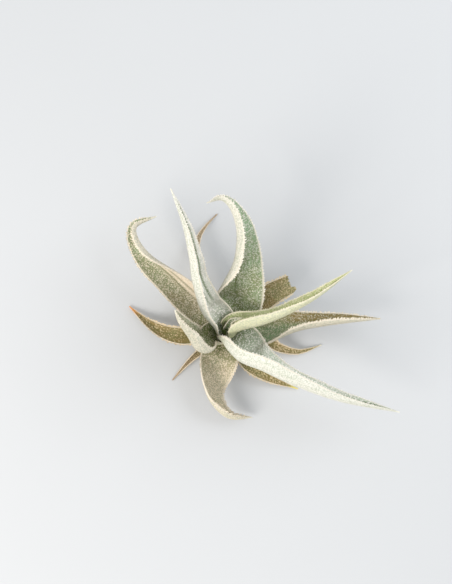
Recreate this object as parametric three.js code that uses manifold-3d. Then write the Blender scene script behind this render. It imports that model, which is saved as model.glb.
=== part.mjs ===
// A short-stemmed air plant, loose from whatever it grew on: a rosette of narrow, channelled,
// silvery leaves whose sheaths wrap a short woody stem, with a few broken-off roots at its foot.
// Millimetres and degrees, +Z up. The origin is on the stem's axis, in the plane of its flat foot.
// Each leaf is a swept sheet: a middle line in space, a section across it that is an arc (the
// channel), and a sheath at its foot that is part of a cup round the stem's axis.

import * as THREE from "three";
import { mergeVertices } from "three/addons/utils/BufferGeometryUtils.js";
import Module from "manifold-3d";

// Driving dimensions of the leaves
const THINNEST = 0.6;
const NARROWEST = 0.7;
const BODY_START = 0.3;
const MARGIN_THINNING = 0.8;
const WIDEST_WRAP = 110;
const LEAF_ROWS = 16;
const LEAF_COLUMNS = 8;
const LENGTH_SAMPLES = 12;
const SECTION_STEPS = 16;
const TIP_THINNING = 1.5;
const BEND_CROWDING = 0.5;

// Driving dimensions of the stem and its roots
const FOOT_RADIUS = 6.0;
const STEM_RADIUS = 6.8;
const STEM_SHOULDER = 1.1;
const STEM_HEIGHT = 14.4;
const STEM_TIP_RADIUS = 0.3;
const STEM_FULLNESS = 1.2;
const SCAR_PITCH = 1.8;
const SCAR_DEPTH = 0.12;
const STEM_SIDES = 20;
const STEM_RINGS = 12;
const ROOT_RADIUS = 0.45;
const ROOT_CLEARANCE = 0.02;
const ROOT_DEPTH = 2.5;
const ROOT_EXIT_HEIGHT = 0.95;
const ROOT_FIRST_REACH = 0.25;
const ROOT_SECOND_REACH = 0.6;
const ROOT_SECOND_BEND = 0.4;
const ROOT_SAG = 0.1;
const ROOT_SIDES = 6;
const ROOT_STEPS = 9;

// Points closer than this are one point
const MERGE_DISTANCE = 1e-4;

// Finishes
const FINISHES = {
  silver: { color: 0xa9b59a, roughness: 0.85 },
  olive: { color: 0x97936c, roughness: 0.88 },
  dry: { color: 0x9a7a62, roughness: 0.95 },
  bark: { color: 0x5c4534, roughness: 0.95 },
};

// Leaves, from the innermost to the outermost.
// azimuth: direction of the sheath round the axis. foot: [radius, height] of the sheath's middle
// at the stem and where it leaves the bundle. line: the middle of the blade from there to its tip.
// roll: how far the blade is turned about its line, evenly spaced values from foot to tip.
// channel: how far the section turns from margin to margin, in the same way. lean: how far each
// margin turns beside that, both the same way round, where the two halves are not alike.
// width and sheath: flat widths of blade and sheath. taper: power of the narrowing to the tip.
// collar: how far up the line the sheath keeps its cup form. rows: facets along it, if not the usual.
const LEAVES = [
  {
    name: "leaf_heart",
    finish: "silver",
    azimuth: 50,
    foot: [[0.8, 15.2], [1.4, 18.8]],
    line: [[2.6, 4.2, 24.0], [7.0, 5.6, 29.5]],
    roll: [0, -30],
    channel: [220, 200],
    width: 5,
    sheath: 6,
    thickness: 0.8,
    taper: 2,
    collar: 8,
    rows: 10,
  },
  {
    name: "leaf_rising_right",
    finish: "silver",
    azimuth: 24,
    foot: [[1.8, 13.9], [3.4, 18.2]],
    line: [[6.0, 3.4, 26.0], [20.0, 7.0, 36.0], [37.0, 14.9, 42.0], [54.5, 26.7, 44.0]],
    roll: [0, -62, -76, -70, -60, -50],
    channel: [200, 190, 175, 165, 165, 170],
    lean: [0, -10, -20, -10, 0, 0],
    width: 16.8,
    sheath: 13,
    thickness: 1.6,
    taper: 1.8,
    collar: 14,
  },
  {
    name: "leaf_upright",
    finish: "silver",
    azimuth: 112,
    foot: [[2.4, 12.8], [4.8, 17.5]],
    line: [
      [-7.5, 11.0, 30.0],
      [-11.7, 22.5, 40.0],
      [-13.3, 32.0, 46.0],
      [-16.9, 45.5, 51.0],
      [-23.4, 61.0, 55.0],
    ],
    roll: [0, 40, 66, 68, 68, 66],
    channel: [190, 175, 160, 165, 170, 170],
    lean: [0, 0, 10, 15, 15, 10],
    width: 19.2,
    sheath: 15.5,
    thickness: 1.6,
    taper: 2,
    collar: 14,
  },
  {
    name: "leaf_long",
    finish: "silver",
    azimuth: -35,
    foot: [[3, 11.7], [5.8, 16.9]],
    line: [
      [9.3, -9.3, 25.9],
      [17.3, -13.4, 30.3],
      [29.3, -20.0, 32.0],
      [51.0, -29.2, 29.0],
      [78.0, -36.8, 22.0],
    ],
    roll: [0, -60, -78, -76, -70, -62],
    channel: [170, 160, 150, 160, 170, 175],
    lean: [0, -20, -30, -20, -10, 0],
    width: 31,
    sheath: 17.2,
    thickness: 1.7,
    taper: 1.2,
    collar: 14,
  },
  {
    name: "leaf_short",
    finish: "silver",
    azimuth: 209,
    foot: [[3.5, 10.6], [7.4, 15]],
    line: [[-10.3, -6.3, 21.8], [-14.6, -0.9, 32.5], [-19.4, 4.8, 42.0], [-21.8, 9.5, 50.0]],
    roll: [0, 66, 76, 74, 70],
    channel: [200, 200, 170, 160],
    lean: [0, 30, 20, 10],
    width: 20,
    sheath: 16.6,
    thickness: 1.6,
    taper: 2.2,
    collar: 20,
  },
  {
    name: "leaf_broad",
    finish: "silver",
    azimuth: 62,
    foot: [[3.9, 9.5], [8, 14.2]],
    line: [
      [5.0, 12.0, 17.5],
      [6.5, 22.0, 26.0],
      [8.5, 33.5, 35.0],
      [7.5, 45.0, 41.0],
      [3.5, 54.0, 43.0],
      [-2.0, 58.0, 41.5],
      [-8.5, 56.0, 37.0],
    ],
    roll: [0, -8, 15, 44, 55, 63, 73, 80],
    channel: [130, 96, 104, 132, 140, 155, 160],
    lean: [0, 10, 30, 30, 25, 20, 10],
    width: 25.5,
    sheath: 17,
    thickness: 1.8,
    taper: 2.4,
    collar: 14,
    rows: 22,
  },
  {
    name: "leaf_hooked",
    finish: "olive",
    azimuth: 142,
    foot: [[4.5, 8.4], [9.4, 12.3]],
    line: [
      [-16.5, 13.5, 17.5],
      [-25.7, 22.4, 23.0],
      [-35.4, 31.0, 26.0],
      [-40.9, 39.5, 26.0],
      [-41.0, 47.0, 24.0],
      [-31.2, 51.2, 20.0],
    ],
    roll: [0, 5, 0, -20, -46, -56, -50],
    channel: [120, 115, 130, 165, 195, 195, 180],
    lean: [0, 0, 0, -10, -20, -20, -10],
    width: 17.6,
    sheath: 17.5,
    thickness: 1.7,
    taper: 2.6,
    collar: 14,
    rows: 24,
  },
  {
    name: "leaf_right",
    finish: "olive",
    azimuth: 5,
    foot: [[4.8, 7.3], [9.8, 11.1]],
    line: [[17.5, 0.0, 13.9], [33.5, 3.3, 16.8], [51.5, 4.8, 16.3], [70.5, 5.0, 12.0]],
    roll: [0, -20, -52, -64, -66, -60],
    channel: [120, 115, 130, 150, 160],
    lean: [0, -15, -25, -20, -10],
    width: 20.5,
    sheath: 19,
    thickness: 1.7,
    taper: 2,
    collar: 14,
  },
  {
    name: "leaf_curled",
    finish: "olive",
    azimuth: -100,
    foot: [[5.2, 6.45], [10.3, 9.7]],
    line: [
      [-3.5, -14.5, 11.5],
      [-5.6, -23.5, 11.5],
      [-4.6, -32.0, 9.5],
      [1.8, -39.6, 6.5],
      [12.2, -41.0, 3.0],
    ],
    roll: [0, 0, -35, -66, -80, -72],
    channel: [90, 95, 135, 165, 170],
    width: 20,
    sheath: 18,
    thickness: 1.6,
    taper: 2,
    collar: 14,
    rows: 20,
  },
  {
    name: "leaf_torn",
    finish: "olive",
    azimuth: 34,
    foot: [[5.6, 5.6], [10.9, 8.1]],
    line: [[16.5, 13.5, 10.2], [23.0, 17.5, 11.7], [31.0, 21.5, 12.2]],
    roll: [0, 0, 0],
    channel: [90, 50, 30],
    width: 13,
    sheath: 17,
    thickness: 1.2,
    taper: 1.5,
    collar: 12,
    kept: 0.5,
    tear: [2.4, 0.4, 0.4, 2, 2, 1.9, 1.7, 1.4, 1.6],
  },
  {
    name: "leaf_left",
    finish: "olive",
    azimuth: 186,
    foot: [[6, 4.75], [11.4, 6.95]],
    line: [[-19.5, -3.0, 7.8], [-28.0, -1.5, 6.4], [-36.5, 3.0, 3.5], [-45.0, 10.5, 0.6]],
    roll: [0, 0, 5, 20, 25],
    channel: [90, 80, 80, 110, 150],
    width: 10,
    sheath: 18,
    thickness: 1.3,
    taper: 1.8,
    collar: 12,
  },
  {
    name: "leaf_thin",
    finish: "dry",
    azimuth: 111,
    foot: [[6.4, 3.9], [11.8, 5.9]],
    line: [
      [-9.8, 19.5, 7.0],
      [-13.9, 31.0, 6.0],
      [-13.0, 41.0, 4.0],
      [-9.5, 47.5, 2.5],
      [-4.0, 53.5, 0.5],
    ],
    roll: [0, 0, 0, 0],
    channel: [80, 90, 120, 150],
    width: 7,
    sheath: 17,
    thickness: 1,
    taper: 1.5,
    collar: 12,
  },
  {
    name: "leaf_small_right",
    finish: "olive",
    azimuth: -10,
    foot: [[6.8, 3.05], [12.1, 5.1]],
    line: [[18.5, -5.0, 5.6], [25.5, -9.0, 4.0], [34.5, -10.5, 2.0], [44.5, -7.5, 0.5]],
    roll: [0, 0, 0, 0],
    channel: [80, 100, 120, 140],
    width: 7,
    sheath: 15,
    thickness: 1,
    taper: 1.5,
    collar: 10,
  },
  {
    name: "leaf_small_front",
    finish: "olive",
    azimuth: -52,
    foot: [[7.2, 2.05], [12.4, 3.4]],
    line: [[11.0, -16.5, 4.0], [20.0, -22.6, 2.7], [33.5, -28.0, 0.8]],
    roll: [0, 0, 0, 0],
    channel: [80, 80, 90, 120],
    width: 9,
    sheath: 16,
    thickness: 1,
    taper: 1.5,
    collar: 10,
    rows: 12,
  },
  {
    name: "leaf_withered",
    finish: "dry",
    azimuth: -135,
    foot: [[7.6, 1.2], [12.7, 2.3]],
    line: [[-12.5, -11.0, 2.8], [-18.0, -16.0, 2.0], [-25.0, -24.0, 0.5]],
    roll: [0, 0, 0, 0],
    channel: [120, 190, 210, 200],
    width: 6,
    sheath: 15,
    thickness: 0.9,
    taper: 1.5,
    collar: 8,
    rows: 12,
  },
];

// Broken-off roots: where each leaves the foot, how far it reaches and how much it bends sideways.
const ROOTS = [
  { azimuth: -74, reach: 6, bend: 18 },
  { azimuth: -28, reach: 10, bend: -24 },
  { azimuth: 12, reach: 5, bend: 20 },
  { azimuth: 48, reach: 12, bend: -26 },
  { azimuth: 92, reach: 7, bend: 24 },
  { azimuth: 128, reach: 10, bend: 16 },
  { azimuth: 164, reach: 5, bend: -18 },
];

const wasm = await Module();
wasm.setup();

const radians = THREE.MathUtils.degToRad;

// Where the columns of facets lie across every leaf, from -1 at the right margin to 1 at the left.
const columnPlaces = Array.from({ length: LEAF_COLUMNS + 1 }, (_, i) => (2 * i) / LEAF_COLUMNS - 1);

// A point at a radius, an angle in degrees and a height.
function polar(radius, angle, height) {
  return new THREE.Vector3(radius * Math.cos(radians(angle)), radius * Math.sin(radians(angle)), height);
}

// A number that passes smoothly through evenly spaced values as t goes from 0 to 1.
function along(values, t) {
  const points = values.map((value) => new THREE.Vector3(value, 0, 0));
  return new THREE.CatmullRomCurve3(points, false, "catmullrom", 0.5).getPoint(t).x;
}

// The middle line of a leaf, from the stem to the tip.
function middleLine(leaf) {
  const foot = leaf.foot.map(([radius, height]) => polar(radius, leaf.azimuth, height));
  const blade = leaf.line.map(([x, y, z]) => new THREE.Vector3(x, y, z));
  return new THREE.CatmullRomCurve3([...foot, ...blade], false, "catmullrom", 0.5);
}

// Flat width at t: a blade that narrows to its tip, widening into the sheath at its foot.
function flatWidth(leaf, t, inSheath) {
  const blade = leaf.width * (1 - Math.pow(t * (leaf.kept ?? 1), leaf.taper));
  return Math.max(blade * (1 - inSheath) + leaf.sheath * inSheath, NARROWEST);
}

// Thickness at t and u: a thin sheath, a fleshy middle, thin margins and a thin tip.
function thicknessAt(leaf, t, u) {
  const body = THREE.MathUtils.smoothstep(t, 0, BODY_START) * (1 - Math.pow(t, TIP_THINNING));
  return THINNEST + (leaf.thickness - THINNEST) * body * (1 - MARGIN_THINNING * u * u);
}

// Where a section is at u, beside and above its middle. It is flat at the middle, where u is 0, and
// turns evenly towards both margins, by half the channel. The lean adds to the turn with u squared.
function sectionPoint(width, channel, lean, u) {
  const step = (width * u) / (2 * SECTION_STEPS);
  const point = { sideways: 0, lift: 0 };
  for (let k = 0; k < SECTION_STEPS; k++) {
    const v = (u * (k + 0.5)) / SECTION_STEPS;
    const turn = (channel / 2) * v + lean * v * v;
    point.sideways += step * Math.cos(turn);
    point.lift += step * Math.sin(turn);
  }
  return point;
}

// A point of the leaf's middle sheet. u runs from -1 at the right margin to 1 at the left one.
// The blade's section lies in the plane across the line, is rolled about the line, and has the line
// halfway between its middle and its margins.
// The sheath's section is an arc round the stem's axis. The two are blended over the collar.
function sheetPoint(leaf, curve, length, t, u) {
  const centre = curve.getPointAt(t);
  const forward = curve.getTangentAt(t);
  const level = new THREE.Vector3(-forward.y, forward.x, 0).normalize();
  const upward = new THREE.Vector3().crossVectors(forward, level);
  const roll = radians(along(leaf.roll, t));
  const across = level.clone().multiplyScalar(Math.cos(roll)).addScaledVector(upward, Math.sin(roll));
  const inward = upward.multiplyScalar(Math.cos(roll)).addScaledVector(level, -Math.sin(roll));

  const inSheath = THREE.MathUtils.smoothstep(1 - (t * length) / leaf.collar, 0, 1);
  const width = flatWidth(leaf, t, inSheath);
  const channel = radians(along(leaf.channel, t));
  const lean = radians(leaf.lean ? along(leaf.lean, t) : 0);
  const place = sectionPoint(width, channel, lean, u);
  const right = sectionPoint(width, channel, lean, -1);
  const left = sectionPoint(width, channel, lean, 1);
  const sideways = place.sideways - ((right.sideways + left.sideways) / 4) * (1 - inSheath);
  const lift = place.lift - ((right.lift + left.lift) / 4) * (1 - inSheath);
  const blade = centre.clone().addScaledVector(across, sideways).addScaledVector(inward, lift);

  const around = Math.hypot(centre.x, centre.y);
  const wrap = Math.min(width / (2 * around), radians(WIDEST_WRAP));
  const angle = Math.atan2(centre.y, centre.x) + u * wrap;
  const cup = new THREE.Vector3(around * Math.cos(angle), around * Math.sin(angle), centre.z);
  return blade.lerp(cup, inSheath);
}

// Where the rows of facets lie along the line, 0 to 1: closer together where the line's own points
// are, which is at its bends.
function rowPlaces(leaf, curve) {
  const steps = leaf.rows ?? LEAF_ROWS;
  const reached = curve.getLengths(steps * LENGTH_SAMPLES);
  const whole = reached[reached.length - 1];
  const places = [];
  for (let j = 0; j <= steps; j++) {
    places.push(THREE.MathUtils.lerp(j / steps, reached[j * LENGTH_SAMPLES] / whole, BEND_CROWDING));
  }
  return places;
}

// The sheet as rows of points. A torn leaf's columns stop short of its line's end by its tear.
function sheetGrid(leaf, curve, places) {
  const length = curve.getLength();
  const ends = columnPlaces.map((u, i) => 1 - (leaf.tear ? leaf.tear[i] / length : 0));
  return places.map((t) => columnPlaces.map((u, i) => sheetPoint(leaf, curve, length, t * ends[i], u)));
}

// The direction that the sheet's inner side faces at one grid point, from its neighbours.
function innerNormal(rows, j, i) {
  const last = rows.length - 1;
  const edge = rows[0].length - 1;
  const lengthwise = rows[Math.min(j + 1, last)][i].clone().sub(rows[Math.max(j - 1, 0)][i]);
  const crosswise = rows[j][Math.min(i + 1, edge)].clone().sub(rows[j][Math.max(i - 1, 0)]);
  return lengthwise.cross(crosswise).normalize();
}

// A closed leaf: the sheet's inner and outer faces, both margins, the foot and the tip.
function leafGeometry(leaf) {
  const curve = middleLine(leaf);
  const places = rowPlaces(leaf, curve);
  const rows = sheetGrid(leaf, curve, places);
  const steps = rows.length - 1;
  const perRow = LEAF_COLUMNS + 1;
  const perFace = rows.length * perRow;
  const inner = [];
  const outer = [];
  rows.forEach((row, j) => {
    row.forEach((point, i) => {
      const half = thicknessAt(leaf, places[j], columnPlaces[i]) / 2;
      const normal = innerNormal(rows, j, i);
      inner.push(...point.clone().addScaledVector(normal, half).toArray());
      outer.push(...point.clone().addScaledVector(normal, -half).toArray());
    });
  });

  const faces = [];
  const quad = (a, b, c, d) => faces.push(a, b, c, a, c, d);
  for (let j = 0; j < steps; j++) {
    for (let i = 0; i < LEAF_COLUMNS; i++) {
      const a = j * perRow + i;
      const b = a + perRow;
      faces.push(a, b, b + 1, a, b + 1, a + 1);
      faces.push(a + perFace, b + 1 + perFace, b + perFace, a + perFace, a + 1 + perFace, b + 1 + perFace);
    }
    const right = j * perRow;
    const left = right + LEAF_COLUMNS;
    quad(right, right + perFace, right + perRow + perFace, right + perRow);
    quad(left, left + perRow, left + perRow + perFace, left + perFace);
  }
  const tip = steps * perRow;
  for (let i = 0; i < LEAF_COLUMNS; i++) {
    quad(i, i + 1, i + 1 + perFace, i + perFace);
    quad(tip + i, tip + i + perFace, tip + i + 1 + perFace, tip + i + 1);
  }

  const geometry = new THREE.BufferGeometry();
  geometry.setAttribute("position", new THREE.Float32BufferAttribute([...inner, ...outer], 3));
  geometry.setIndex(faces);
  return geometry;
}

// A solid that can be joined to others, from a closed geometry.
function solidOf(geometry) {
  const bare = geometry.clone();
  bare.deleteAttribute("normal");
  bare.deleteAttribute("uv");
  const merged = mergeVertices(bare, MERGE_DISTANCE);
  const mesh = new wasm.Mesh({
    numProp: 3,
    vertProperties: new Float32Array(merged.attributes.position.array),
    triVerts: new Uint32Array(merged.index.array),
  });
  return new wasm.Manifold(mesh);
}

// A geometry from a joined solid.
function geometryOf(solid) {
  const mesh = solid.getMesh();
  const geometry = new THREE.BufferGeometry();
  geometry.setAttribute("position", new THREE.BufferAttribute(mesh.vertProperties, 3));
  geometry.setIndex(new THREE.BufferAttribute(mesh.triVerts, 1));
  return geometry;
}

// The stem: a flat foot, a rounded shoulder and a cone ringed by the scars that the leaves sit on.
function stemGeometry() {
  const profile = [new THREE.Vector2(0, 0), new THREE.Vector2(FOOT_RADIUS, 0)];
  for (let k = 0; k <= STEM_RINGS; k++) {
    const t = k / STEM_RINGS;
    const z = THREE.MathUtils.lerp(STEM_SHOULDER, STEM_HEIGHT, t);
    const scar = SCAR_DEPTH * Math.cos((2 * Math.PI * (z - STEM_SHOULDER)) / SCAR_PITCH);
    const cone = STEM_TIP_RADIUS + (STEM_RADIUS - STEM_TIP_RADIUS) * (1 - Math.pow(t, STEM_FULLNESS));
    profile.push(new THREE.Vector2(cone - scar, z));
  }
  profile.push(new THREE.Vector2(0, STEM_HEIGHT + STEM_TIP_RADIUS));
  const lathe = new THREE.LatheGeometry(profile, STEM_SIDES);
  lathe.rotateX(Math.PI / 2);
  return lathe;
}

// A root: a thin rod that comes out of the foot low down and bends along the ground to a broken end.
function rootGeometry({ azimuth, reach, bend }) {
  const ground = ROOT_RADIUS + ROOT_CLEARANCE;
  const path = new THREE.CatmullRomCurve3([
    polar(FOOT_RADIUS - ROOT_DEPTH, azimuth, ROOT_EXIT_HEIGHT),
    polar(FOOT_RADIUS + ROOT_FIRST_REACH * reach, azimuth, ROOT_EXIT_HEIGHT),
    polar(FOOT_RADIUS + ROOT_SECOND_REACH * reach, azimuth + ROOT_SECOND_BEND * bend, ground + ROOT_SAG),
    polar(FOOT_RADIUS + reach, azimuth + bend, ground),
  ]);
  const section = new THREE.Shape().absarc(0, 0, ROOT_RADIUS, 0, 2 * Math.PI);
  return new THREE.ExtrudeGeometry(section, {
    steps: ROOT_STEPS,
    curveSegments: ROOT_SIDES / 2,
    extrudePath: path,
    bevelEnabled: false,
  });
}

function finish(name) {
  return new THREE.MeshStandardMaterial({ metalness: 0, ...FINISHES[name] });
}

function buildStem() {
  const roots = ROOTS.map((root) => solidOf(rootGeometry(root)));
  const whole = roots.reduce((solid, root) => solid.add(root), solidOf(stemGeometry()));
  const mesh = new THREE.Mesh(geometryOf(whole), finish("bark"));
  mesh.name = "stem";
  return mesh;
}

function buildLeaf(leaf) {
  const mesh = new THREE.Mesh(leafGeometry(leaf), finish(leaf.finish));
  mesh.name = leaf.name;
  return mesh;
}

const plant = new THREE.Group();
plant.add(buildStem());
LEAVES.forEach((leaf) => plant.add(buildLeaf(leaf)));

export default plant;
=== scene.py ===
# The looks of a short-stemmed air plant, built round its packed solids: a rosette of channelled
# leaves under a coat of tiny white scales, on a fibrous stem with a few broken roots.
# Metres, +Z up. The origin is on the stem's axis, in the plane of its flat foot.

import math

import bpy
import numpy as np
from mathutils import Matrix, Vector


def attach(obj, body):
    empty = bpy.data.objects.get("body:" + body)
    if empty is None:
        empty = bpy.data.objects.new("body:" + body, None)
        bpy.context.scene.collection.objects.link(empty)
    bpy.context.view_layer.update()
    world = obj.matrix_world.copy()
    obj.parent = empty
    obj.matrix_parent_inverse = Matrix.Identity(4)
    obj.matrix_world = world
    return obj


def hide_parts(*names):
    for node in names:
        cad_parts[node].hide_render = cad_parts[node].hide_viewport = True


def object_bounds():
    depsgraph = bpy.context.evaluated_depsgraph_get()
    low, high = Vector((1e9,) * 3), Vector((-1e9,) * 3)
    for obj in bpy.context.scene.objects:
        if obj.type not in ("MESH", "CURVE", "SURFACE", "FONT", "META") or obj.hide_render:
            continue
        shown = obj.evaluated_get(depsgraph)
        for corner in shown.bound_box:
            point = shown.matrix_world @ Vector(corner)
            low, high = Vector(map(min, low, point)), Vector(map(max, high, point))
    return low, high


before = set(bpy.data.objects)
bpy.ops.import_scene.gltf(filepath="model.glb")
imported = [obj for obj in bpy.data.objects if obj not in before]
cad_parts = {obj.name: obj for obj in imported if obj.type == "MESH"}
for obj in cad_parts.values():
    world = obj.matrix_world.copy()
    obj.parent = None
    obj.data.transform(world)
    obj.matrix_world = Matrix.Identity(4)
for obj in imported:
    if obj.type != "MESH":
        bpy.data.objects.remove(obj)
CAD_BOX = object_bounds()

bl_info = {
    "name": "Air Plant Rosette",
    "version": (1, 0, 0),
    "blender": (4, 5, 0),
    "location": "3D View > Sidebar > Air Plant",
    "description": "Builds a scaly, silver-leaved air plant rosette and a plain studio round it",
    "category": "Object",
}

MM = 0.001

# Leaf form, in millimetres, degrees or shares of the leaf's length
THINNEST = 0.5
NARROWEST = 0.55
BODY_START = 0.3
BODY_POWER = 1.5
MARGIN_THINNING = 0.8
WIDEST_WRAP = 110
TIP_ROUND = 0.9
TIP_RINGS = 7
LINE_SAMPLES = 900
STEP_OF_DIFFERENCE = 1e-3
SECTION_STEPS = 16
MARGIN_WAVE_RUNS = (3.1, 1.3, 2.7, 1.2)
FULL_WAVE_WIDTH = 8
TORN_FROM, TORN_RUN, TORN_THINNING = 0.93, 0.07, 0.65
TEAR_RAGS = ((0.22, 19, 1), (0.16, 43, 0), (0.1, 87, 2))

# Relief of a leaf, likewise
RIB_WIDTH = 0.95
SWELL_LENGTH, SWELL_SQUEEZE = 16, 2.5
GROOVE_WIDTH, GROOVED_FROM, GROOVED_RUN = 0.55, 1.8, 6
FULL_RELIEF_WIDTH = 4
FURROW_FROM, FURROW_RUN = 0.12, 0.2
FURROW_END, FURROW_END_RUN = 0.97, 0.1
FULL_FURROW_WIDTH = 9
SIDE_SHARPNESS = 4

# Scales and teeth, in millimetres, radians, or shares of their pitch, of their size or of the coat
ROW_SPACING = 0.87
SCALE_JITTER = 0.42
SCALE_ROOT, SCALE_TIP = 0.45, 0.55
SCALE_SINK = 0.05
SCALE_SIZES = (0.6, 1.25)
SCALE_LIFTS = (0.5, 1.5)
SCALE_TURN = 0.45
SMALLEST_SCALE, FULL_SCALE_WIDTH = 0.6, 5
INNER_FINENESS, OUTER_FINENESS = 1.0, 0.62
INNER_SHADES, OUTER_SHADES = (0.4, 1), (0, 0.45)
LEAST_WORN = 0.3
COAT_EDGE = 0.97
COAT_CLUMP, COAT_CLUMP_WAVES = 4.5, 9
COAT_FROM, COAT_RUN = 0.2, 0.5
BARE_MISSING, SHEATH_MISSING, FURROW_MISSING = 0.65, 0.4, 0.9
FURROW_BARE_WIDTH = 0.5
TOOTH_JITTER = 0.3
TOOTH_TURNS = (0.8, 1.4)
TOOTH_TILT = 0.4
TOOTH_LIFTS = (-0.3, 0.4)
TOOTH_SIZES = (0.7, 1.25)
TOOTH_REACH = 0.28
SMALL_TEETH = 0.6
SMALLEST_TOOTH, FULL_TOOTH_WIDTH = 0.35, 6
SHEATH_TOOTH_LOSS = 0.6
DULLEST_TOOTH = 0.7
GROUND_CLEARANCE = 0.02

# The stem and its roots, in millimetres or shares, as in their solid where it has them
FOOT_RADIUS = 6.0
STEM_RADIUS = 6.8
STEM_SHOULDER = 1.1
STEM_HEIGHT = 14.4
STEM_TIP_RADIUS = 0.3
STEM_FULLNESS = 1.2
SCAR_PITCH = 1.8
SCAR_DEPTH = 0.12
SHOULDER_RINGS, FOOT_RINGS = 8, 11
FIBRES_ROUND = (37, 61)
FIBRE_SHARE, LUMP_SHARE = 0.6, 0.7
FOOT_SMOOTH_BELOW, AXIS_SMOOTH_WITHIN = 0.5, 3
ROOT_SEED = 5
ROOT_START, ROOT_HEIGHT, ROOT_CLEARANCE = -2.5, 0.95, 0.03
ROOT_WANDER, ROOT_SLIMNESS, ROOT_TAPER = 0.18, 0.88, 0.35
BROKEN_FROM, BROKEN_RADIUS = 0.97, 0.55

# How strongly each layer of a colour lies over the ones below it, and how dark some are
AGE_PATCHES = 0.3
OLIVE_HALF_AGE = 0.7
# Yellow-green over a leaf and more in its channel's middle: a real colour, made brighter as painted
# light
LIME_ALL_OVER, LIME_IN_MIDDLE = 0.6, 0.4
FOOT_GREEN = 0.6
STREAKS, FOOT_STREAKS = 0.35, 0.35
# Painted shade: how strongly the bottom of a leaf's channel is darkened with the vein colour,
# standing for the shade in its groove
GROOVE_PAINTED_SHADE = 0.3
# How strongly the furrows are darkened: partly real dark lines, partly painted shade in the creases
FURROW_PAINTED_SHADE = 0.75
# Painted highlight: how strongly cream is laid on the half of a channel whose wall faces the light
HALF_PAINTED_HIGHLIGHT = 0.88
COAT_FILM = 0.4
INNER_SPECKLE, OUTER_SPECKLE = 0.8, 0.6
OUTER_STREAKS = 0.2
OUTER_LIME, OUTER_FOOT_GREEN, OUTER_LIME_SHADE = 0.12, 0.45, 0.8
OLD_BLOOM, OLD_EDGE = 0.5, 0.3
SHEATH_HUSK, OLD_SHEATH_HUSK = 0.5, 0.4
MARGIN_PALENESS = 0.85
TIP_DRYNESS, TIP_FADE = 0.92, 1.6
LIME_ON_SCALES = 0.45
WORN_TO_SKIN = 0.6
SOFT_SCALE = (0.80, 0.81, 0.76, 1)
SCALE_PATCHES, PATCH_SHADE = 0.15, 0.85
WORN_BARK, BARK_THREADS, FRESH_STEM = 0.6, 0.6, (0.6, 0.85)
FLOOR_MOTTLE = 0.985

# The stage, in metres; the floor lies a hair under the foot, in millimetres
FLOOR_DROP = 0.05
KEY_LIGHT = dict(size=0.45, place=(-0.52, -0.34, 0.50), colour=(1.0, 0.965, 0.92))
FILL_LIGHT = dict(size=0.6, place=(0.55, 0.35, 0.55), colour=(0.90, 0.95, 1.0))
NEAREST_SEEN = 0.01
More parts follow.
